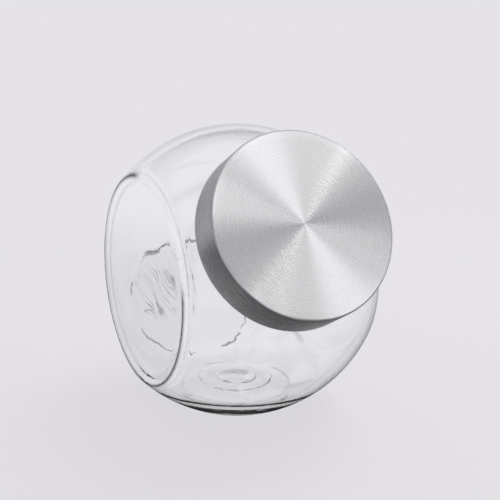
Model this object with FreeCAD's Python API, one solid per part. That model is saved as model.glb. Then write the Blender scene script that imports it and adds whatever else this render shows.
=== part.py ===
import FreeCAD, Part
import math
import os

# A counter-top candy jar: a clear glass globe with a flat panel pressed into each side, a base flat
# it stands on, and a back flat opposite its wide, leaning mouth, which a brushed steel screw lid
# closes. Millimetres. +X is across the jar, +Y to its back, +Z up, and the mouth leans to -Y.
# The origin is the centre of the base flat, on the surface that the jar stands on.

# Globe
globe_r = 90.0           # outer radius of the ball
panel_r = 63.3           # radius of the circle that each side panel cuts in the ball
foot_r = 35.3            # radius of the base flat
back_r = 40.5            # radius of the back flat
mouth_tilt = 30.0        # mouth axis above the horizontal, degrees
panel_round = 1.5        # outer round along a panel's edge
foot_round = 3.0         # outer round along the base flat's edge
back_round = 1.2         # outer round along the back flat's edge
inner_round = 8.0        # round inside the glass along the panels' and the base's edges

# Glass thicknesses
wall = 4.4               # ball
panel_wall = 4.4         # side panels
base_wall = 11.2         # base flat: heavy, to hold the jar down
back_wall = 5.0          # back flat

# Base: a shallow bowl under the jar leaves a bearing ring, two low round steps rise inside it
bearing_ring = 7.0       # width of the ring that touches the table
push_up = 1.2            # depth of the bowl in its middle
outer_step_r = 23.5      # radius of the first step on the inner floor
inner_step_r = 13.0      # radius of the second
floor_step = 0.55        # height of each step

# Neck finish: the turned-up ring that the lid screws to
neck_r = 51.5            # outer radius between the threads
neck_wall = 4.8
finish_height = 22.6     # from the ball's skin to the rim
throat_round = 7.0       # inner corner between bore and ball
rim_round = 1.6          # both edges of the rim
bead_height = 3.6        # transfer bead below the threads
bead_stand = 1.5         # how far the bead stands out
bead_rise = 3.0          # from the neck's foot to the bead's middle
thread_depth = 1.5       # how far the screw thread stands out

# Lid: a drawn steel shell over a moulded liner that carries the screw thread
thread_clear = 0.4       # glass thread to liner
liner_wall = 1.4
liner_disc = 1.6         # the disc that seals the rim
liner_lip = 6.5          # how far the liner's skirt stops above the shell's lower edge
seal_groove = 0.7        # relief of the liner's disc inside the rim
press_gap = 0.05         # liner to shell, and liner to rim
shell_gauge = 0.6
shell_round = 1.6        # outer round at the top edge
hem_height = 2.4         # lower edge folded inwards
skirt_gap = 2.0          # shell's lower edge to the ball


def on_ball(radius, circle_r):
    """How far from a ball's centre a circle on its skin lies."""
    return math.sqrt(radius**2 - circle_r**2)


# Distances that follow from the sizes, measured from the ball's centre
side_out = on_ball(globe_r, panel_r)
foot_down = on_ball(globe_r, foot_r)
back_out = on_ball(globe_r, back_r)
neck_foot = on_ball(globe_r, neck_r)
rim_out = neck_foot + finish_height
shell_in_r = neck_r + thread_depth + thread_clear + liner_wall + press_gap
shell_r = shell_in_r + shell_gauge
shell_low = on_ball(globe_r, shell_r) + skirt_gap
disc_low = rim_out + press_gap
disc_top = disc_low + liner_disc
shell_top = disc_top + press_gap + shell_gauge

# Directions out of the ball's centre
centre = FreeCAD.Vector(0, 0, foot_down)
tilt = math.radians(mouth_tilt)
mouth_way = FreeCAD.Vector(0, -math.cos(tilt), math.sin(tilt))
down_way = FreeCAD.Vector(0, 0, -1)
left_way = FreeCAD.Vector(-1, 0, 0)
right_way = FreeCAD.Vector(1, 0, 0)


def aim(shape, way):
    """Turn a shape made along +Z about the origin so that it points along way from the ball's centre."""
    turned = shape.copy()
    turn = FreeCAD.Rotation(FreeCAD.Vector(0, 0, 1), way)
    turned.Placement = FreeCAD.Placement(centre, turn)
    return turned


def lathe(outline):
    """A solid of revolution about +Z from edges drawn in the XZ plane."""
    face = Part.Face(Part.Wire(outline))
    return face.revolve(FreeCAD.Vector(0, 0, 0), FreeCAD.Vector(0, 0, 1), 360)


def run(*points):
    """Straight edges from point to point of (radius, height)."""
    ends = [FreeCAD.Vector(r, 0, z) for r, z in points]
    return [Part.LineSegment(a, b).toShape() for a, b in zip(ends, ends[1:])]


def bend(start, middle, end):
    """An arc through three points of (radius, height)."""
    a, b, c = (FreeCAD.Vector(r, 0, z) for r, z in (start, middle, end))
    return Part.Arc(a, b, c).toShape()


def corner(middle, radius, angle):
    """The point of a round corner at an angle in degrees from outwards."""
    a = math.radians(angle)
    return (middle[0] + radius * math.cos(a), middle[1] + radius * math.sin(a))


def edges_in_plane(shape, way, out):
    """The round edges of a shape that lie in the plane at a distance along way from the ball's centre."""
    found = []
    for edge in shape.Edges:
        points = [] if edge.Degenerated else edge.discretize(Number=5)
        if points and all(abs((p - centre).dot(way) - out) < 1e-4 for p in points):
            found.append(edge)
    return found


def flatten(ball, way, out, edge_round=0):
    """Cut a flat across a ball at a distance from its centre, and round the flat's edge."""
    cutter = Part.makeCylinder(globe_r, globe_r, FreeCAD.Vector(0, 0, out))
    ball = ball.cut(aim(cutter, way))
    if edge_round:
        ball = ball.makeFillet(edge_round, edges_in_plane(ball, way, out))
    return ball


def bowl():
    """The shallow hollow pressed up into the base flat, made along +Z."""
    bowl_r = foot_r - bearing_ring
    outline = run((0, foot_down - push_up), (0, foot_down + 1), (bowl_r, foot_down + 1),
                  (bowl_r, foot_down))
    sphere_r = (bowl_r**2 + push_up**2) / (2 * push_up)
    half_way = on_ball(sphere_r, bowl_r / 2) - (sphere_r - push_up)
    outline += [bend((bowl_r, foot_down), (bowl_r / 2, foot_down - half_way), (0, foot_down - push_up))]
    return lathe(outline)


def floor_steps():
    """The two low round steps that rise from the inner floor, made along +Z."""
    floor = foot_down - base_wall
    return lathe(run((0, floor + 1), (outer_step_r, floor + 1), (outer_step_r, floor),
                     (outer_step_r - floor_step, floor - floor_step), (inner_step_r, floor - floor_step),
                     (inner_step_r - floor_step, floor - 2 * floor_step), (0, floor - 2 * floor_step),
                     (0, floor + 1)))


def neck():
    """The outer form of the neck: a ring with its transfer bead, sunk into the ball."""
    bead_middle = neck_foot + bead_rise
    low = bead_middle - bead_height / 2
    high = bead_middle + bead_height / 2
    crest = neck_r + bead_stand
    top = (neck_r - rim_round, rim_out - rim_round)
    sunk = neck_foot - wall
    outline = run((0, sunk), (neck_r, sunk), (neck_r, low))
    outline += [bend((neck_r, low), (crest, bead_middle), (neck_r, high))]
    outline += run((neck_r, high), (neck_r, top[1]))
    outline += [bend((neck_r, top[1]), corner(top, rim_round, 45), (top[0], rim_out))]
    outline += run((top[0], rim_out), (0, rim_out), (0, sunk))
    return lathe(outline)


def make_jar():
    """The glass: the flatted ball and its neck, less the hollow, the bore and the bowl in its base."""
    back_way = mouth_way * -1
    outer = Part.makeSphere(globe_r, centre, right_way, -90, 90, 360)
    outer = flatten(outer, left_way, side_out, panel_round)
    outer = flatten(outer, right_way, side_out, panel_round)
    outer = flatten(outer, down_way, foot_down, foot_round)
    outer = flatten(outer, back_way, back_out, back_round)
    hollow = Part.makeSphere(globe_r - wall, centre, right_way, -90, 90, 360)
    hollow = flatten(hollow, left_way, side_out - panel_wall, inner_round)
    hollow = flatten(hollow, right_way, side_out - panel_wall, inner_round)
    hollow = flatten(hollow, down_way, foot_down - base_wall, inner_round)
    hollow = flatten(hollow, back_way, back_out - back_wall)
    hollow = hollow.cut(aim(floor_steps(), down_way))
    bore_r = neck_r - neck_wall
    throat = on_ball(globe_r - wall, bore_r)
    bore = Part.makeCylinder(bore_r, globe_r + finish_height)
    hollow = hollow.fuse(aim(bore, mouth_way))
    hollow = hollow.makeFillet(throat_round, edges_in_plane(hollow, mouth_way, throat))
    glass = outer.fuse(aim(neck(), mouth_way))
    glass = glass.cut(hollow)
    glass = glass.makeFillet(rim_round, [
        edge for edge in edges_in_plane(glass, mouth_way, rim_out)
        if edge.Curve.Radius < bore_r + 0.1
    ])
    return glass.cut(aim(bowl(), down_way))


def make_lid():
    """The drawn steel shell: a flat top with a rounded edge, and a skirt hemmed inwards."""
    top = (shell_r - shell_round, shell_top - shell_round)
    inside_round = shell_round - shell_gauge
    hem_in_r = shell_in_r - shell_gauge
    hem_round = (shell_r - hem_in_r) / 2
    hem = (shell_r - hem_round, shell_low + hem_round)
    outline = run((0, shell_top), (top[0], shell_top))
    outline += [bend((top[0], shell_top), corner(top, shell_round, 45), (shell_r, top[1]))]
    outline += run((shell_r, top[1]), (shell_r, hem[1]))
    outline += [bend((shell_r, hem[1]), corner(hem, hem_round, -90), (hem_in_r, hem[1]))]
    outline += run((hem_in_r, hem[1]), (hem_in_r, shell_low + hem_height),
                   (shell_in_r, shell_low + hem_height), (shell_in_r, top[1]))
    outline += [bend((shell_in_r, top[1]), corner(top, inside_round, 45),
                     (top[0], shell_top - shell_gauge))]
    outline += run((top[0], shell_top - shell_gauge), (0, shell_top - shell_gauge), (0, shell_top))
    return aim(lathe(outline), mouth_way)


def make_lid_liner():
    """The moulded liner pressed into the shell: a sealing disc and the skirt that screws on."""
    outer_r = shell_in_r - press_gap
    inner_r = outer_r - liner_wall
    chamfer = shell_round
    low = shell_low + liner_lip
    relief_r = neck_r - neck_wall - seal_groove
    outline = run((0, disc_top), (outer_r - chamfer, disc_top), (outer_r, disc_top - chamfer),
                  (outer_r, low), (inner_r, low), (inner_r, disc_low), (relief_r, disc_low),
                  (relief_r - seal_groove, disc_low + seal_groove), (0, disc_low + seal_groove),
                  (0, disc_top))
    return aim(lathe(outline), mouth_way)


os.makedirs("parts", exist_ok=True)
pieces = {"jar": make_jar(), "lid": make_lid(), "lid_liner": make_lid_liner()}
for name, shape in pieces.items():
    solid = shape.Solids[0]
    solid.exportStep("parts/" + name + ".step")
    print(name, "valid", solid.isValid(), "solids", len(shape.Solids),
          "volume cm3", round(solid.Volume / 1000, 1))
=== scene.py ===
import bmesh
import bpy
import math
from mathutils import Matrix, Quaternion, Vector, noise


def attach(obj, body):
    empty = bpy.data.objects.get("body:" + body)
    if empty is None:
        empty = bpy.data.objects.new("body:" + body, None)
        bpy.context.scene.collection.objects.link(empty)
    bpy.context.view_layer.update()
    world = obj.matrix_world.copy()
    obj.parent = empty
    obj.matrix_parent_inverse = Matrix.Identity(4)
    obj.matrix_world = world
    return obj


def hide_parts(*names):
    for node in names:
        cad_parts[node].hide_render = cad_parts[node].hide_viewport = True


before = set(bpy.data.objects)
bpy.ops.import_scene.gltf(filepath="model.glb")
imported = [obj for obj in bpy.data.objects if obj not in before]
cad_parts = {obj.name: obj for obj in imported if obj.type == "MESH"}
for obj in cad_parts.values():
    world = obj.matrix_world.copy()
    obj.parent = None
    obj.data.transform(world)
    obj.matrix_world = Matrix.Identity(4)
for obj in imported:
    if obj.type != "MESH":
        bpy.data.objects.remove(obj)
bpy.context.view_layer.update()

# ---- Floor and backdrop -----------------------------------------------------------------------
# A pale lilac-grey sweep of paper, wide and softly lit. Seen direct it is one even tone with the
# jar's soft shadow on it. Beyond it glass and metal see a sky of grey bands with dark flags in it,
# which draw the glass's edges.
paper = (0.787, 0.769, 0.807, 1)
paper_matt = (0.80, 0.78, 0.82, 1)
shadow_share = 0.15      # how much of the floor's tone comes from the lamps
floor_r = 3.0
floor_drop = 0.0003      # how far the paper lies under the jar's foot
fade_from = 0.25         # the floor melts into the backdrop between these distances
fade_to = 0.60
paper_in_glass = 1.07    # what the glass loses at its skins, made up behind it
foot_shade = 0.08        # how bright the floor under the jar is, where glass or metal mirrors it
foot_shade_from = 0.030  # and the distances from the jar's middle between which that shade ends
foot_shade_to = 0.060
# how bright metal sees the floor, by distance from the jar's middle
floor_in_metal = [(0.0, 0.03), (0.065, 0.03), (0.10, 0.24), (0.22, 0.24), (0.34, 0.09), (0.60, 0.09)]
# how bright glass and metal see the sky, from 0 on the level to 1 straight up
sky_in_glass = [(0.0, 1.0), (0.28, 1.0), (0.42, 0.12), (0.64, 0.12), (0.76, 0.95), (1.0, 1.0)]
sky_in_metal = [(0.0, 1.0), (0.12, 0.70), (0.3, 0.88), (0.75, 0.90), (1.0, 0.90)]
# bearing and half width of each flag, in degrees
flags = [(-157, 5), (-112, 5), (-67, 5), (73, 6), (112, 5), (157, 5)]
flag_tone = 0.03
flag_fade = 5


def put(tree, kind, **settings):
    """Add a shader node. A setting is a property, or as in_NAME or in_NUMBER an input, set or linked."""
    made = tree.nodes.new("ShaderNode" + kind)
    for key, value in settings.items():
        if not key.startswith("in_"):
            setattr(made, key, value)
            continue
        name = key[3:].replace("_", " ")
        socket = made.inputs[int(name) if name.isdigit() else name]
        if isinstance(value, bpy.types.NodeSocket):
            tree.links.new(value, socket)
        else:
            socket.default_value = value
    return made


def reckon(tree, operation, *values, clamp=False):
    """The result of a sum on numbers."""
    inputs = {"in_" + str(place): value for place, value in enumerate(values)}
    return put(tree, "Math", operation=operation, use_clamp=clamp, **inputs).outputs[0]


def reckon_way(tree, operation, one, other=(0, 0, 0)):
    """The result of a sum on places or ways: a number for a length, else a way."""
    second = "in_Scale" if operation == "SCALE" else "in_1"
    made = put(tree, "VectorMath", operation=operation, in_0=one, **{second: other})
    return made.outputs["Value" if operation in ("LENGTH", "DISTANCE", "DOT_PRODUCT") else 0]


def between(tree, value, low, high, at_low=0.0, at_high=1.0, soft=False):
    """A value that goes from at_low to at_high as the given one goes from low to high."""
    made = put(tree, "MapRange", in_Value=value, in_From_Min=low, in_From_Max=high, in_To_Min=at_low,
               in_To_Max=at_high)
    if soft:
        made.interpolation_type = "SMOOTHSTEP"
    return made.outputs[0]


def mix(tree, share, one, other, way="MIX"):
    """Two colours, mixed or multiplied, by a share of the second; way is Blender's name for which."""
    return put(tree, "Mix", data_type="RGBA", blend_type=way, in_0=share, in_6=one, in_7=other).outputs[2]


def grey_ramp(tree, value, stops):
    """A grey for each value, from (value, tone) stops."""
    ramp = put(tree, "ValToRGB", in_0=value)
    steps = ramp.color_ramp.elements
    for place, tone in stops[1:-1]:
        steps.new(place).color = (tone, tone, tone, 1)
    for step, (place, tone) in ((steps[0], stops[0]), (steps[len(steps) - 1], stops[-1])):
        step.position = place
        step.color = (tone, tone, tone, 1)
    return ramp.outputs[0]


def turned_back(tree):
    """How often metal or a skin turned light back, less twice how often it passed through a skin."""
    path = put(tree, "LightPath").outputs
    return reckon(tree, "MULTIPLY_ADD", path["Transmission Depth"], -2, path["Glossy Depth"])


world = bpy.data.worlds.new("studio")
bpy.context.scene.world = world
world.use_nodes = True
sky = world.node_tree
sky.nodes.clear()
sky_way = put(sky, "TexCoord").outputs["Generated"]
sky_parts = put(sky, "SeparateXYZ", in_0=sky_way).outputs
glass_sky = grey_ramp(sky, sky_parts["Z"], sky_in_glass)
metal_sky = grey_ramp(sky, sky_parts["Z"], sky_in_metal)
met_metal = reckon(sky, "GREATER_THAN", turned_back(sky), 0.5)    # or the glass's outside
which_sky = mix(sky, met_metal, glass_sky, metal_sky)
flag_stops = [(0.0, 1.0)]
for middle, half in flags:
    outer = half + flag_fade
    for edge, tone in ((-outer, 1.0), (-half, flag_tone), (half, flag_tone), (outer, 1.0)):
        flag_stops.append(((middle + edge + 180) / 360, tone))
flag_stops.append((1.0, 1.0))
bearing = reckon(sky, "ARCTAN2", sky_parts["X"], sky_parts["Y"])
flag_ring = grey_ramp(sky, between(sky, bearing, -math.pi, math.pi), flag_stops)
flagged = mix(sky, 1.0, which_sky, flag_ring, "MULTIPLY")
toned = mix(sky, 1.0, flagged, paper, "MULTIPLY")
seen_round = put(sky, "Background", in_Color=toned, in_Strength=paper_in_glass).outputs[0]
seen_direct = put(sky, "Background", in_Color=paper).outputs[0]
sky_direct = put(sky, "LightPath").outputs["Is Camera Ray"]
either = put(sky, "MixShader", in_0=sky_direct, in_1=seen_round, in_2=seen_direct).outputs[0]
put(sky, "OutputWorld", in_0=either)

bpy.ops.object.select_all(action="DESELECT")
bpy.ops.mesh.primitive_circle_add(
    vertices=128, radius=floor_r, fill_type="NGON", location=(0, 0, -floor_drop))
floor = bpy.context.object
floor.name = "floor"
bpy.ops.object.transform_apply(location=True, rotation=True, scale=True)
floor_paper = bpy.data.materials.new("floor paper")
floor_paper.use_nodes = True
ground = floor_paper.node_tree
ground.nodes.clear()
from_middle = reckon_way(ground, "LENGTH", put(ground, "TexCoord").outputs["Object"])
floor_path = put(ground, "LightPath").outputs
floor_reach = floor_in_metal[-1][0]
floor_stops = [(reach / floor_reach, tone) for reach, tone in floor_in_metal]
metal_floor = grey_ramp(ground, between(ground, from_middle, 0, floor_reach), floor_stops)
by_metal = between(ground, turned_back(ground), 0, 1, paper_in_glass, metal_floor)
under_jar = between(ground, from_middle, foot_shade_from, foot_shade_to, foot_shade, 1.0, soft=True)
off_any = put(ground, "Mix", data_type="FLOAT", in_0=floor_path["Glossy Depth"], in_2=1.0, in_3=under_jar)
mirrored_glow = reckon(ground, "MULTIPLY", by_metal, off_any.outputs[0])
mirrored = put(ground, "Emission", in_Color=paper, in_Strength=mirrored_glow).outputs[0]
glow = put(ground, "Emission", in_Color=paper).outputs[0]
matt = put(ground, "BsdfDiffuse", in_Color=paper_matt).outputs[0]
lit = put(ground, "MixShader", in_0=shadow_share, in_1=glow, in_2=matt).outputs[0]
seen = put(ground, "MixShader", in_0=floor_path["Is Camera Ray"], in_1=mirrored, in_2=lit).outputs[0]
fade = between(ground, from_middle, fade_from, fade_to, soft=True)
clear = put(ground, "BsdfTransparent").outputs[0]
melted = put(ground, "MixShader", in_0=fade, in_1=seen, in_2=clear).outputs[0]
put(ground, "OutputMaterial", in_0=melted)
floor.data.materials.append(floor_paper)

# ---- Camera and lamps -------------------------------------------------------------------------
# The camera stands to the left of the mouth and looks a little down. One wide lamp, high at the
# right and a little behind, casts the jar's soft shadow to the front. The boxes show only where
# they are mirrored: they draw the fan of light and shade on the brushed lid.
ball_r = 0.0900
foot_r = 0.0353
ball_centre = Vector((0, 0, math.sqrt(ball_r**2 - foot_r**2)))
mouth_tilt = math.radians(30)
mouth_way = Vector((0, -math.cos(mouth_tilt), math.sin(mouth_tilt)))
bearing_left = math.radians(26.35)
look_down = math.radians(15.56)
camera_roll = math.radians(0.94)
camera_far = 0.808
camera_right = 0.0080
camera_up = 0.0118
lens = 94
key_at = (0.75, 0.35, 1.25)
key_side = 1.0
key_power = 15
lid_out = 0.0987         # the lid's face, from the ball's centre
lamp_far = 1.2
facet_lean = 12          # in degrees: how far the brushed facets that mirror the boxes lean
# name, angle on the lid, length along and across the spoke, power
boxes = [
    ("wide box", 103, 0.46, 0.94, 1.50),
    ("side box", 160, 0.40, 0.26, 0.56),
    ("strip", 59, 0.40, 0.012, 0.09),
    ("low box", 287, 0.40, 0.92, 0.90),
    ("low strip", 239, 0.40, 0.012, 0.10),
]

back_way = Vector((-math.sin(bearing_left) * math.cos(look_down),
                   -math.cos(bearing_left) * math.cos(look_down), math.sin(look_down)))
level_right = Vector((math.cos(bearing_left), -math.sin(bearing_left), 0))
right_way = Quaternion(back_way, camera_roll) @ level_right
up_way = back_way.cross(right_way)
camera = bpy.data.objects.new("camera", bpy.data.cameras.new("camera"))
bpy.context.scene.collection.objects.link(camera)
camera.data.lens = lens
camera.location = ball_centre + back_way * camera_far + right_way * camera_right + up_way * camera_up
camera.rotation_euler = Matrix((right_way, up_way, back_way)).transposed().to_euler()
bpy.context.scene.camera = camera
bpy.context.scene.view_settings.view_transform = "Standard"


def lamp(name, place, aim, power, side, other_side, long_way=(1, 0, 0)):
    """An area lamp that faces a point, with its long side turned along a direction."""
    light = bpy.data.lights.new(name, "AREA")
    light.shape = "RECTANGLE"
    light.energy = power
    light.size = side
    light.size_y = other_side
    made = bpy.data.objects.new(name, light)
    bpy.context.scene.collection.objects.link(made)
    out = (Vector(place) - Vector(aim)).normalized()
    across = Vector(long_way)
    across = (across - across.dot(out) * out).normalized()
    turn = Matrix((across, out.cross(across), out)).transposed().to_quaternion()
    made.matrix_world = Matrix.LocRotScale(Vector(place), turn, None)
    made.visible_camera = False
    made.visible_transmission = False
    return made


def mirrored_way(angle, lean):
    """Where the camera looks to, off a facet on the lid's face that leans out along a spoke."""
    turn = math.radians(angle)
    spoke = right_way * math.cos(turn) + up_way * math.sin(turn)
    spoke = (spoke - back_way * spoke.dot(mouth_way) / back_way.dot(mouth_way)).normalized()
    facet = Quaternion(mouth_way.cross(spoke), math.radians(lean)) @ mouth_way
    return 2 * back_way.dot(facet) * facet - back_way


key = lamp("key", key_at, ball_centre, key_power, key_side, key_side)
key.visible_glossy = False
lid_face = ball_centre + mouth_way * lid_out
for name, angle, along, across, power in boxes:
    long_way = mirrored_way(angle, facet_lean + 1) - mirrored_way(angle, facet_lean - 1)
    box_at = lid_face + mirrored_way(angle, facet_lean) * lamp_far
    box = lamp(name, box_at, lid_face, power, along, across, long_way)
    box.visible_diffuse = False

# ---- Glass jar --------------------------------------------------------------------------------
# Thick soda-lime glass, blown in a mould: a ball with a flat panel on each side, a heavy base, a
# flat back and a turned-up neck with a transfer bead and a screw thread. The outside is crisp
# where the mould met it, the inside soft and a little wavy. Painted shade turns it grey-green on edge.
panel_r = 0.0633
back_r = 0.0405
panel_round = 0.0012
foot_round = 0.0030
back_round = 0.0012
wall = 0.0044
base_wall = 0.0112
back_wall = 0.0050
floor_step = 0.00055     # the two low steps on the inner floor
step_radii = (0.0130, 0.0235)
step_blend = 0.0007
push_up = 0.0012         # the shallow bowl under the base, inside its bearing ring
push_up_r = 0.0283
panel_blend = 0.006      # how softly the inside turns into each flat
base_blend = 0.010
back_blend = 0.004
ripple = 0.00022         # height of the inside's long waves
ripple_size = 0.034
pucker = 0.0007          # height of the uneven ring inside the back flat's edge
pucker_size = 0.012
pucker_width = math.radians(3.2)
pucker_place = Vector((3, 9, 2))    # in the noise it is taken from
# the waves fade in from the first angle off the mouth's or the foot's axis, over the second
calm_mouth = (math.radians(42), math.radians(15))
calm_foot = (math.radians(22), math.radians(12))
neck_r = 0.0515
neck_wall = 0.0048
finish_height = 0.0226
shoulder_round = 0.0016
throat_round = 0.0070
rim_round = 0.0016
bead_rise = 0.0030
bead_height = 0.0036
bead_stand = 0.0015
thread_above = 0.0035    # from the bead to the thread's start
thread_depth = 0.0013
thread_pitch = 0.0060
thread_width = 0.0026
thread_turns = 1.6
thread_flank = 1.6       # higher is steeper
thread_run_out = 6       # parts of a turn: each end fades over one
neck_steps = 168
bead_rows = 10
thread_rows = 26
bore_rows = 8
skin_level = 7           # how often the ball's faces are divided
ring_spacing = 0.0020    # between the points of a ring, on its widest circle
step_ring = 0.0003       # between the rings that follow the low steps on the inner floor
crease_ring = 0.0007     # and those that follow the inside's turn into each panel
pole_r = 0.0005          # no ring is laid nearer than this to a flat's middle
weld = 0.00002           # points of a spun outline this near are one
seam_weld = 0.00003      # and so are those where the neck and the skins meet
large_faces_lead = 80    # of 100: how far the large faces set the shading
glass_tone = (0.99, 0.995, 0.99, 1)
glass_edge_shade = (0.34, 0.37, 0.35, 1)
edge_from = 0.66         # how slantwise the skin is seen where the painted edge shade begins
edge_to = 1.05
edge_uneven = 0.20
edge_patches = 60        # to each metre
glass_index = 1.5
glass_depth_tone = (0.80, 0.87, 0.83, 1)
glass_depth = 2.5

side_way = Vector((1, 0, 0))
down_way = Vector((0, 0, -1))
side_out = math.sqrt(ball_r**2 - panel_r**2)
foot_out = math.sqrt(ball_r**2 - foot_r**2)
back_out = math.sqrt(ball_r**2 - back_r**2)
inner_r = ball_r - wall
neck_foot = math.sqrt(ball_r**2 - neck_r**2)
rim_out = neck_foot + finish_height
onto_mouth = Matrix.Translation(ball_centre) @ (
    Vector((0, 0, 1)).rotation_difference(mouth_way).to_matrix().to_4x4())


def bend(middle, radius, start, end, steps):
    """Points (radius, height) of an arc from a start to an end angle in radians."""
    angles = [start + (end - start) * step / steps for step in range(steps + 1)]
    return [(middle[0] + radius * math.cos(a), middle[1] + radius * math.sin(a)) for a in angles]


def spin_outline(name, outline, steps):
    """An outline of (radius, height) points, spun round the upright axis and welded."""
    made = bpy.data.objects.new(name, bpy.data.meshes.new(name))
    bpy.context.scene.collection.objects.link(made)
    runs = [(i, i + 1) for i in range(len(outline) - 1)]
    made.data.from_pydata([(r, 0, h) for r, h in outline], runs, [])
    bpy.ops.object.select_all(action="DESELECT")
    bpy.context.view_layer.objects.active = made
    made.select_set(True)
    bpy.ops.object.mode_set(mode="EDIT")
    bpy.ops.mesh.select_all(action="SELECT")
    bpy.ops.mesh.spin(steps=steps, angle=math.tau, center=(0, 0, 0), axis=(0, 0, 1))
    bpy.ops.mesh.select_all(action="SELECT")
    bpy.ops.mesh.remove_doubles(threshold=weld)
    bpy.ops.object.mode_set(mode="OBJECT")
    return made


def flat_edge(out, edge_round, middle_points=()):
    """Outline of a flat at a distance from the ball's centre, out to the ball past its round edge."""
    round_r = math.sqrt((ball_r - edge_round)**2 - (out - edge_round)**2)
    lean = math.atan2(round_r, out - edge_round)
    points = list(middle_points) or [(0, out)]
    return points + bend((round_r, out - edge_round), edge_round, math.pi / 2, math.pi / 2 - lean, 6)


def outline_reach(outline, angle):
    """How far from the ball's centre an outline lies, at an angle from its way."""
    for (r0, h0), (r1, h1) in zip(outline, outline[1:]):
        if math.atan2(r0, h0) <= angle <= math.atan2(r1, h1):
            return (r0 * h1 - h0 * r1) / (math.sin(angle) * (h1 - h0) - math.cos(angle) * (r1 - r0))
    return None


def glass_skin(name, radius, rings, mouth_angle):
    """A ball open at the mouth, with a ring of points at each (way, angle), knit to one even skin."""
    bpy.ops.object.select_all(action="DESELECT")
    bpy.ops.mesh.primitive_ico_sphere_add(subdivisions=skin_level, radius=radius, location=ball_centre)
    skin = bpy.context.object
    skin.name = name
    bpy.ops.object.transform_apply(location=True, rotation=True, scale=True)
    spacing = radius * 2.4 / 2**skin_level
    mouth_clear = 0.55       # parts of a spacing in which the ball's own points make way
    ring_clear = 0.45
    mesh = bmesh.new()
    mesh.from_mesh(skin.data)
    crowded = []
    for point in mesh.verts:
        out = point.co - ball_centre
        if out.angle(mouth_way) < mouth_angle + spacing * mouth_clear / radius:
            crowded.append(point)
        elif any(abs(out.angle(way) - angle) * radius < spacing * ring_clear for way, angle in rings):
            crowded.append(point)
    bmesh.ops.delete(mesh, geom=crowded, context="VERTS")
    bmesh.ops.delete(mesh, geom=mesh.edges[:], context="EDGES_FACES")
    widest = {}
    for way, angle in rings:
        widest[tuple(way)] = max(angle, widest.get(tuple(way), 0))
    for way, angle in rings + [(mouth_way, mouth_angle)]:
        steps = neck_steps
        if way is not mouth_way:
            steps = int(math.tau * radius * math.sin(widest[tuple(way)]) / ring_spacing)
        turn = Vector((0, 0, 1)).rotation_difference(way)
        ring_out = math.sin(angle)
        for step in range(steps):
            around = math.tau * step / steps
            out = Vector((ring_out * math.cos(around), ring_out * math.sin(around), math.cos(angle)))
            mesh.verts.new(ball_centre + turn @ out * radius)
    mesh.to_mesh(skin.data)
    mesh.free()
    bpy.ops.object.mode_set(mode="EDIT")
    bpy.ops.mesh.select_all(action="SELECT")
    bpy.ops.mesh.convex_hull(delete_unused=False, use_existing_faces=False, join_triangles=False)
    bpy.ops.object.mode_set(mode="OBJECT")
    mesh = bmesh.new()
    mesh.from_mesh(skin.data)
    mouth_height = radius * math.cos(mouth_angle)
    as_flat = 4e-6           # the faces that the hull laid over the mouth lie this near its plane
    cover = [face for face in mesh.faces
             if all(abs((p.co - ball_centre).dot(mouth_way) - mouth_height) < as_flat for p in face.verts)]
    bmesh.ops.delete(mesh, geom=cover, context="FACES")
    mesh.to_mesh(skin.data)
    mesh.free()
    return skin


def ease(part):
    """A smooth step from 0 to 1."""
    part = max(0.0, min(1.0, part))
    return part * part * (3 - 2 * part)


def soft_lesser(one, other, blend):
    """The lesser of two lengths, turning smoothly from one to the other."""
    near = max(blend - abs(one - other), 0) / blend
    return min(one, other) - near * near * blend / 4


# The neck is one outline spun about the mouth's axis, from the ball's skin over the rim and in.
bore_r = neck_r - neck_wall
shoulder_r = neck_r + shoulder_round
shoulder = (shoulder_r, math.sqrt((ball_r + shoulder_round)**2 - shoulder_r**2))
throat_r = bore_r + throat_round
throat = (throat_r, math.sqrt((inner_r + throat_round)**2 - throat_r**2))
rim_middle = rim_out - rim_round
bead_low = neck_foot + bead_rise - bead_height / 2
thread_low = bead_low + bead_height
neck_line = bend(shoulder, shoulder_round, math.pi + math.atan2(shoulder[1], shoulder[0]), math.pi, 5)
for step in range(bead_rows + 1):
    part = step / bead_rows
    neck_line.append((neck_r + bead_stand * math.sin(math.pi * part), bead_low + bead_height * part))
for step in range(1, thread_rows + 1):
    neck_line.append((neck_r, thread_low + (rim_middle - thread_low) * step / thread_rows))
neck_line += bend((neck_r - rim_round, rim_middle), rim_round, 0, math.pi / 2, 5)[1:]
neck_line.append(((neck_r + bore_r) / 2, rim_out))
neck_line += bend((bore_r + rim_round, rim_middle), rim_round, math.pi / 2, math.pi, 5)
for step in range(1, bore_rows + 1):
    neck_line.append((bore_r, rim_middle + (throat[1] - rim_middle) * step / bore_rows))
neck_line += bend(throat, throat_round, math.pi, math.pi + math.atan2(throat[1], throat[0]), 8)[1:]
neck = spin_outline("neck", neck_line, neck_steps)

# The thread is pushed out of the neck's wall, a little over a turn and a half of it.
thread_start = thread_low + thread_above
for point in neck.data.vertices:
    out = math.hypot(point.co.x, point.co.y)
    if abs(out - neck_r) < 1e-5 and point.co.z > thread_low:
        around = math.atan2(point.co.y, point.co.x) / math.tau + 0.5
        best = 0
        for turn in range(3):
            turns_up = turn + around
            off = abs(point.co.z - thread_start - turns_up * thread_pitch) / (thread_width / 2)
            ends = ease(turns_up * thread_run_out) * ease((thread_turns - turns_up) * thread_run_out)
            best = max(best, ease((1 - off) * thread_flank) * ends)
        point.co.x *= 1 + best * thread_depth / out
        point.co.y *= 1 + best * thread_depth / out
neck.data.transform(onto_mouth)

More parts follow.
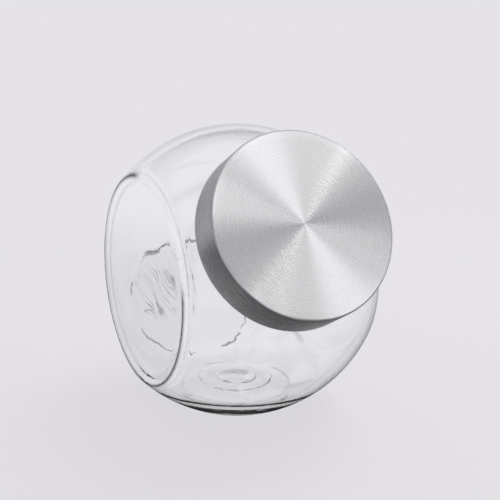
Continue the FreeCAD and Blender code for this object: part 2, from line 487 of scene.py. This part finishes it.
# The outer skin is pressed flat where the mould was flat.
bowl_line = [(push_up_r * part, foot_out - push_up * (1 - ease(part))) for part in (0, 0.25, 0.5, 0.75, 1)]
flats = [
    (-side_way, flat_edge(side_out, panel_round)),
    (side_way, flat_edge(side_out, panel_round)),
    (down_way, flat_edge(foot_out, foot_round, bowl_line)),
    (-mouth_way, flat_edge(back_out, back_round)),
]
outer_rings = []
for way, outline in flats:
    outer_rings += [(way, math.atan2(r, h)) for r, h in outline if r > pole_r]
outer_skin = glass_skin("glass_jar", ball_r, outer_rings, math.atan2(*neck_line[0]))
for way, outline in flats:
    reach = math.atan2(*outline[-1])
    for point in outer_skin.data.vertices:
        out = point.co - ball_centre
        angle = out.angle(way)
        if angle <= reach:
            distance = outline_reach(outline, angle)
            if distance:
                point.co = ball_centre + out.normalized() * distance

# The inner skin turns softly into each flat, steps up twice on the base and ripples like blown glass.
inner_side = side_out - wall
inner_foot = foot_out - base_wall
inner_back = back_out - back_wall
inner_rings = []
for radius in step_radii:
    inner_rings += [(down_way, math.atan2(radius + off * step_ring, inner_foot)) for off in range(-2, 3)]
for way in (side_way, -side_way):
    crease = math.acos(inner_side / inner_r)
    inner_rings += [(way, crease + off * crease_ring / inner_r) for off in range(-9, 10)]
inner_skin = glass_skin("inside", inner_r, inner_rings, math.atan2(*neck_line[-1]))
pucker_at = math.acos(inner_back / inner_r)
faces_flat = 0.2         # a way from the centre that points less than this at a flat never meets it
for point in inner_skin.data.vertices:
    out = (point.co - ball_centre).normalized()
    distance = inner_r
    along = abs(out.dot(side_way))
    if along > faces_flat:
        distance = soft_lesser(distance, inner_side / along, panel_blend)
    along = out.dot(-mouth_way)
    if along > faces_flat:
        distance = soft_lesser(distance, inner_back / along, back_blend)
    along = out.dot(down_way)
    if along > faces_flat:
        from_axis = inner_foot * math.tan(math.acos(min(along, 1)))
        lift = 0
        for radius in step_radii:
            lift += floor_step * (1 - ease((from_axis - radius) / step_blend + 0.5))
        distance = soft_lesser(distance, (inner_foot - lift) / along, base_blend)
    off_pucker = (out.angle(-mouth_way) - pucker_at) / pucker_width
    wave = noise.noise(out * inner_r / ripple_size) * ripple
    wave += noise.noise(out * inner_r / pucker_size + pucker_place) * pucker * math.exp(-off_pucker**2)
    wave *= ease((out.angle(mouth_way) - calm_mouth[0]) / calm_mouth[1])
    wave *= ease((out.angle(down_way) - calm_foot[0]) / calm_foot[1])
    point.co = ball_centre + out * (distance + wave)

bpy.ops.object.select_all(action="DESELECT")
for skin in (neck, inner_skin, outer_skin):
    skin.select_set(True)
bpy.context.view_layer.objects.active = outer_skin
bpy.ops.object.join()
jar = outer_skin
bpy.ops.object.mode_set(mode="EDIT")
bpy.ops.mesh.select_all(action="SELECT")
bpy.ops.mesh.remove_doubles(threshold=seam_weld)
bpy.ops.mesh.normals_make_consistent(inside=False)
bpy.ops.object.mode_set(mode="OBJECT")
bpy.ops.object.shade_smooth()
bpy.ops.object.modifier_add(type="WEIGHTED_NORMAL")
jar.modifiers[-1].weight = large_faces_lead
bpy.ops.object.modifier_apply(modifier=jar.modifiers[-1].name)

glass = bpy.data.materials.new("clear glass")
glass.use_nodes = True
pane = glass.node_tree
pane_shader = pane.nodes["Principled BSDF"]
pane_shader.inputs["Roughness"].default_value = 0.0
pane_shader.inputs["IOR"].default_value = glass_index
pane_shader.inputs["Transmission Weight"].default_value = 1.0
# Painted edge shade: the glass's colour darkens to grey-green where its skin is seen slantwise, for the
# dark edges it shows.
pane_spot = put(pane, "TexCoord").outputs["Object"]
edge_noise = put(pane, "TexNoise", in_Vector=pane_spot, in_Scale=edge_patches, in_Detail=4).outputs[0]
edge_off = between(pane, edge_noise, 0, 1, -edge_uneven / 2, edge_uneven / 2)
slant = reckon(pane, "ADD", put(pane, "LayerWeight", in_Blend=0.5).outputs["Facing"], edge_off)
edge_shade_part = between(pane, slant, edge_from, edge_to, soft=True)
pane_tone_and_shade = mix(pane, edge_shade_part, glass_tone, glass_edge_shade)
body = put(pane, "VolumeAbsorption", in_Color=glass_depth_tone, in_Density=glass_depth).outputs[0]
pane.links.new(body, pane.nodes["Material Output"].inputs["Volume"])

# Painted shade: a dark line drawn into the glass's colour round the edge of each flat, for the dark
# edges it shows there: whole but one-sided round the panels, broken on the back and the base. Each
# is a circle about a flat's axis, which may wander, break up and fade away to one side.
wander_fine = 160        # how closely a line wanders, and how closely it is broken
broken_fine = 45
break_soft = 0.06
line_flat = 0.3          # how much less a distance counts along the flat's axis than across it
fade_width = 0.010
shade_line_group = bpy.data.node_groups.new("chill line", "ShaderNodeTree")
for socket, kind in (("Way", "Vector"), ("Radius", "Float"), ("Out", "Float"), ("Width", "Float"),
                     ("Wander", "Float"), ("Broken", "Float"), ("Dark", "Float"), ("Toward", "Vector"),
                     ("From", "Float")):
    shade_line_group.interface.new_socket(socket, in_out="INPUT", socket_type="NodeSocket" + kind)
shade_line_group.interface.new_socket("Tone", in_out="OUTPUT", socket_type="NodeSocketFloat")
given = shade_line_group.nodes.new("NodeGroupInput").outputs
line_spot = put(shade_line_group, "TexCoord").outputs["Object"]
from_centre = reckon_way(shade_line_group, "SUBTRACT", line_spot, ball_centre)
along_axis = reckon_way(shade_line_group, "DOT_PRODUCT", from_centre, given["Way"])
axis_foot = reckon_way(shade_line_group, "SCALE", given["Way"], along_axis)
across_axis = reckon_way(shade_line_group, "SUBTRACT", from_centre, axis_foot)
wobble = put(shade_line_group, "TexNoise", in_Vector=line_spot, in_Scale=wander_fine, in_Detail=3).outputs[0]
wobble_off = reckon(shade_line_group, "MULTIPLY", between(shade_line_group, wobble, 0, 1, -0.5, 0.5), given["Wander"])
wandered = reckon(shade_line_group, "ADD", reckon_way(shade_line_group, "LENGTH", across_axis), wobble_off)
radial_off = reckon(shade_line_group, "SUBTRACT", wandered, given["Radius"])
past_out = reckon(shade_line_group, "SUBTRACT", along_axis, given["Out"])
axial_off = reckon(shade_line_group, "MULTIPLY", past_out, line_flat)
off_line = put(shade_line_group, "CombineXYZ", in_0=radial_off, in_1=axial_off).outputs[0]
off_length = reckon_way(shade_line_group, "LENGTH", off_line)
in_line = between(shade_line_group, off_length, 0, given["Width"], 1.0, 0.0, soft=True)
gaps = put(shade_line_group, "TexNoise", in_Vector=line_spot, in_Scale=broken_fine, in_Detail=2).outputs[0]
gap_low = reckon(shade_line_group, "SUBTRACT", given["Broken"], break_soft)
unbroken = between(shade_line_group, gaps, gap_low, given["Broken"], soft=True)
in_run = reckon(shade_line_group, "MULTIPLY", in_line, unbroken)
toward = reckon_way(shade_line_group, "DOT_PRODUCT", from_centre, given["Toward"])
fade_end = reckon(shade_line_group, "ADD", given["From"], fade_width)
faded = between(shade_line_group, toward, given["From"], fade_end, soft=True)
darkened = reckon(shade_line_group, "MULTIPLY", reckon(shade_line_group, "MULTIPLY", in_run, faded), given["Dark"])
line_shade = reckon(shade_line_group, "SUBTRACT", 1.0, darkened, clamp=True)
shade_line_group.links.new(line_shade, shade_line_group.nodes.new("NodeGroupOutput").inputs[0])

# way, radius, out, width, wander, broken, dark, and the side it shows on: a way, and from how far along it
painted_shade_lines = [
    (-side_way, panel_r, side_out - 0.0003, 0.0036, 0.0, 0.0, 1.0, (0, 1, 0), 0.000),
    (side_way, panel_r, side_out - 0.0003, 0.0036, 0.0, 0.0, 1.0, (0, 1, 0), 0.010),
    (-side_way, panel_r - 0.0001, side_out - 0.0003, 0.0018, 0.0, 0.0, 1.0, (0, 0.6, -0.8), -0.052),
    (side_way, panel_r - 0.0001, side_out - 0.0003, 0.0012, 0.0, 0.0, 0.35, (0, 0.6, -0.8), -0.040),
    (-mouth_way, back_r, back_out, 0.0014, 0.0060, 0.48, 0.95, (0, 0, 1), -1),
    (-mouth_way, back_r, back_out, 0.0016, 0.0120, 0.38, 1.0, (0, 0, 1), -0.018),
    (down_way, foot_r, foot_out, 0.0016, 0.0016, 0.50, 0.5, (0, 0, 1), -1),
    (down_way, step_radii[0], inner_foot - floor_step * 1.5, 0.0007, 0.0006, 0.50, 0.8, (0, 0, 1), -1),
    (down_way, step_radii[1], inner_foot - floor_step * 0.5, 0.0007, 0.0006, 0.46, 0.8, (0, 0, 1), -1),
]
inside_out = put(pane, "NewGeometry").outputs["Backfacing"]
from_outside = reckon(pane, "SUBTRACT", 1.0, inside_out)
# Each painted shade line darkens the glass's colour.
for way, radius, out, width, wander, broken, dark, toward_way, fade_at in painted_shade_lines:
    line = put(pane, "Group", node_tree=shade_line_group, in_Way=way, in_Radius=radius, in_Out=out,
               in_Width=width, in_Wander=wander, in_Broken=broken, in_Dark=dark,
               in_Toward=toward_way, in_From=fade_at)
    on_panel = abs(way.dot(side_way)) > 0.5
    shown = from_outside if on_panel else 1.0    # the panels' lines show only from outside
    pane_tone_and_shade = mix(pane, shown, pane_tone_and_shade, line.outputs["Tone"], "MULTIPLY")

# Painted shade: fine upright dark streaks drawn into the glass's colour, for the wall's uneven refraction.
streak_across = 240        # streaks to each metre, and how slowly they waver along their length
streak_along = 20
streak_lean = 0.3
streak_fine = 0.021        # how much of the pattern's range a streak takes
streak_shade_depth = 1.0
streak_at = Vector((-0.0200, 0.0740, -0.0360))    # the middle of their patch, from the ball's centre
streak_reach = (0.011, 0.022)                     # they fade away between these distances from it
streak_up = mouth_way.cross(side_way).normalized()
streak_across_way = (side_way + streak_up * streak_lean) * streak_across
streak_side = reckon_way(pane, "DOT_PRODUCT", pane_spot, streak_across_way)
streak_length = reckon_way(pane, "DOT_PRODUCT", pane_spot, streak_up * streak_along)
streak_stretch = put(pane, "CombineXYZ", in_0=streak_side, in_1=streak_length).outputs[0]
streak_noise = put(pane, "TexNoise", in_Vector=streak_stretch, in_Scale=1.0, in_Detail=3).outputs[0]
streak_away = reckon(pane, "ABSOLUTE", reckon(pane, "SUBTRACT", streak_noise, 0.5))
streak_line = between(pane, streak_away, 0, streak_fine, 1.0, 0.0, soft=True)
streak_off = reckon_way(pane, "DISTANCE", pane_spot, ball_centre + streak_at)
streak_near = between(pane, streak_off, streak_reach[0], streak_reach[1], streak_shade_depth, 0.0, soft=True)
painted_streak_shade = reckon(pane, "SUBTRACT", 1.0, reckon(pane, "MULTIPLY", streak_line, streak_near), clamp=True)
pane_tone_and_shade = mix(pane, 1.0, pane_tone_and_shade, painted_streak_shade, "MULTIPLY")
pane.links.new(pane_tone_and_shade, pane_shader.inputs["Base Color"])

# Light caught in the wall would be lost after a few turns: past them the glass glows in the paper's
# tone as painted light, and is left dark in the heel as painted shade, for the shadow seen there.
caught_after = 2.5       # turns
heel_low = 0.003         # the dark ends between these heights
heel_high = 0.007
heel_uneven = 0.014      # and its edge wanders up to so far
heel_patches = 110       # to each metre
heel_light = 0.05
wall_light = 0.92
caught = reckon(pane, "GREATER_THAN", put(pane, "LightPath").outputs["Glossy Depth"], caught_after)
heel_noise = put(pane, "TexNoise", in_Vector=pane_spot, in_Scale=heel_patches, in_Detail=5).outputs[0]
heel_off = between(pane, heel_noise, 0, 1, -heel_uneven, heel_uneven)
heel_height = reckon(pane, "ADD", heel_off, put(pane, "SeparateXYZ", in_0=pane_spot).outputs["Z"])
heel_glow_and_shade = between(pane, heel_height, heel_low, heel_high, heel_light, wall_light, soft=True)
painted_wall_glow = put(pane, "Emission", in_Color=paper, in_Strength=heel_glow_and_shade).outputs[0]
let_go = put(pane, "MixShader", in_0=caught, in_1=pane_shader.outputs[0], in_2=painted_wall_glow).outputs[0]
pane.links.new(let_go, pane.nodes["Material Output"].inputs["Surface"])
jar.data.materials.clear()
jar.data.materials.append(glass)
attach(jar, "root")
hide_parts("jar")

# ---- Lid liner --------------------------------------------------------------------------------
# A moulded white plastic liner, pressed into the shell: its disc seals the rim and its skirt
# screws onto the neck. It shows only through the glass, and keeps its CAD shape.
liner_tone = (0.80, 0.80, 0.78, 1)
liner_index = 1.48
grain_fine = 900         # grains to each metre
grain_smooth = 0.38      # roughness between the grains, and on them
grain_dull = 0.55
grain_lift = 0.25
grain_depth = 0.00005
liner_white = bpy.data.materials.new("moulded white liner")
liner_white.use_nodes = True
moulded = liner_white.node_tree
moulded_shader = moulded.nodes["Principled BSDF"]
moulded_shader.inputs["Base Color"].default_value = liner_tone
moulded_shader.inputs["IOR"].default_value = liner_index
liner_spot = put(moulded, "TexCoord").outputs["Object"]
grain = put(moulded, "TexNoise", in_Vector=liner_spot, in_Scale=grain_fine, in_Detail=3).outputs[0]
grain_bump = put(moulded, "Bump", in_Height=grain, in_Strength=grain_lift,
                 in_Distance=grain_depth).outputs[0]
grain_rough = between(moulded, grain, 0, 1, grain_smooth, grain_dull)
moulded.links.new(grain_rough, moulded_shader.inputs["Roughness"])
moulded.links.new(grain_bump, moulded_shader.inputs["Normal"])
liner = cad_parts["lid_liner"]
liner.data.materials.clear()
liner.data.materials.append(liner_white)

# ---- Lid shell --------------------------------------------------------------------------------
# A shallow cup drawn from stainless steel sheet, its lower edge hemmed inwards, held on the liner
# that screws onto the neck. It is brushed in circles while it turns, on top and round the skirt,
# so its gloss spreads from the middle.
shell_gauge = 0.0006
shell_round = 0.0016
shell_inner_r = 0.05485
shell_r = shell_inner_r + shell_gauge
shell_over_rim = 0.0023  # the liner's disc and the sheet
shell_clear = 0.0020     # from the hem down to the ball
shell_top = rim_out + shell_over_rim
shell_low = math.sqrt(ball_r**2 - shell_r**2) + shell_clear
hem_height = 0.0024
face_rows = 12
skirt_rows = 8
lid_steps = 360
steel_tone = (0.80, 0.80, 0.80, 1)
steel_shade = (0.785, 0.785, 0.785, 1)
# painted shade: the skirt's steel is made darker than the face's
skirt_shade = (0.55, 0.55, 0.56, 1)
skirt_from = shell_r - 0.0007
skirt_to = shell_r - 0.0001
brush_length = 2.2       # higher is shorter strokes
brush_fine = 2000        # strokes across each metre
brush_spread = 1.0       # anisotropy
brush_low = 0.3          # the range that the strokes' noise mostly keeps to
brush_high = 0.7
brush_lift = 0.015
brush_depth = 0.00001
rough_low = 0.268
rough_high = 0.282
crisp_edge = math.radians(35)

hem_round = shell_gauge
hem_middle = shell_low + hem_round
hem_top = shell_low + hem_height
edge_r = shell_r - shell_round
edge_height = shell_top - shell_round
shell_line = [(0, shell_top)]
for step in range(1, face_rows + 1):
    shell_line.append((edge_r * step / face_rows, shell_top))
shell_line += bend((edge_r, edge_height), shell_round, math.pi / 2, 0, 8)[1:]
for step in range(1, skirt_rows + 1):
    shell_line.append((shell_r, edge_height + (hem_middle - edge_height) * step / skirt_rows))
shell_line += bend((shell_r - hem_round, hem_middle), hem_round, 0, -math.pi, 8)[1:]
shell_line += [(shell_r - 2 * hem_round, hem_top), (shell_inner_r, hem_top), (shell_inner_r, edge_height)]
shell_line += bend((edge_r, edge_height), shell_round - shell_gauge, 0, math.pi / 2, 4)[1:]
shell_line.append((0, shell_top - shell_gauge))
lid = spin_outline("lid_shell", shell_line, lid_steps)
bpy.ops.object.mode_set(mode="EDIT")
bpy.ops.mesh.normals_make_consistent(inside=False)
bpy.ops.object.mode_set(mode="OBJECT")
lid.data.transform(onto_mouth)
bpy.ops.object.shade_smooth_by_angle(angle=crisp_edge)

steel = bpy.data.materials.new("brushed steel")
steel.use_nodes = True
brushed = steel.node_tree
steel_shader = brushed.nodes["Principled BSDF"]
steel_shader.inputs["Metallic"].default_value = 1.0
steel_shader.inputs["Anisotropic"].default_value = brush_spread
lid_spot = reckon_way(brushed, "SUBTRACT", put(brushed, "TexCoord").outputs["Object"], ball_centre)
lid_along = reckon_way(brushed, "DOT_PRODUCT", lid_spot, mouth_way)
lid_foot = reckon_way(brushed, "SCALE", mouth_way, lid_along)
spoke_part = reckon_way(brushed, "SUBTRACT", lid_spot, lid_foot)
spoke_length = reckon_way(brushed, "LENGTH", spoke_part)
spoke_way = reckon_way(brushed, "NORMALIZE", spoke_part)
across_strokes = reckon_way(brushed, "SUBTRACT", spoke_way, mouth_way)
stroke_place = reckon_way(brushed, "SCALE", spoke_way, brush_length)
stroke_row = reckon(brushed, "MULTIPLY", reckon(brushed, "ADD", spoke_length, lid_along), brush_fine)
strokes = put(brushed, "TexNoise", noise_dimensions="4D", in_Vector=stroke_place, in_W=stroke_row,
              in_Scale=1.0, in_Detail=1, in_Roughness=0.6).outputs[0]
stroke_rough = between(brushed, strokes, brush_low, brush_high, rough_low, rough_high)
stroke_tone = mix(brushed, between(brushed, strokes, brush_low, brush_high), steel_shade, steel_tone)
# Painted shade: the skirt's colour is darkened below the face's.
on_skirt = between(brushed, spoke_length, skirt_from, skirt_to)
lid_tone_and_shade = mix(brushed, on_skirt, stroke_tone, skirt_shade, "MULTIPLY")
stroke_bump = put(brushed, "Bump", in_Height=strokes, in_Strength=brush_lift,
                  in_Distance=brush_depth).outputs[0]
brushed.links.new(lid_tone_and_shade, steel_shader.inputs["Base Color"])
brushed.links.new(stroke_rough, steel_shader.inputs["Roughness"])
brushed.links.new(stroke_bump, steel_shader.inputs["Normal"])
brushed.links.new(across_strokes, steel_shader.inputs["Tangent"])
lid.data.materials.append(steel)
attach(lid, "root")
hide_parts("lid")
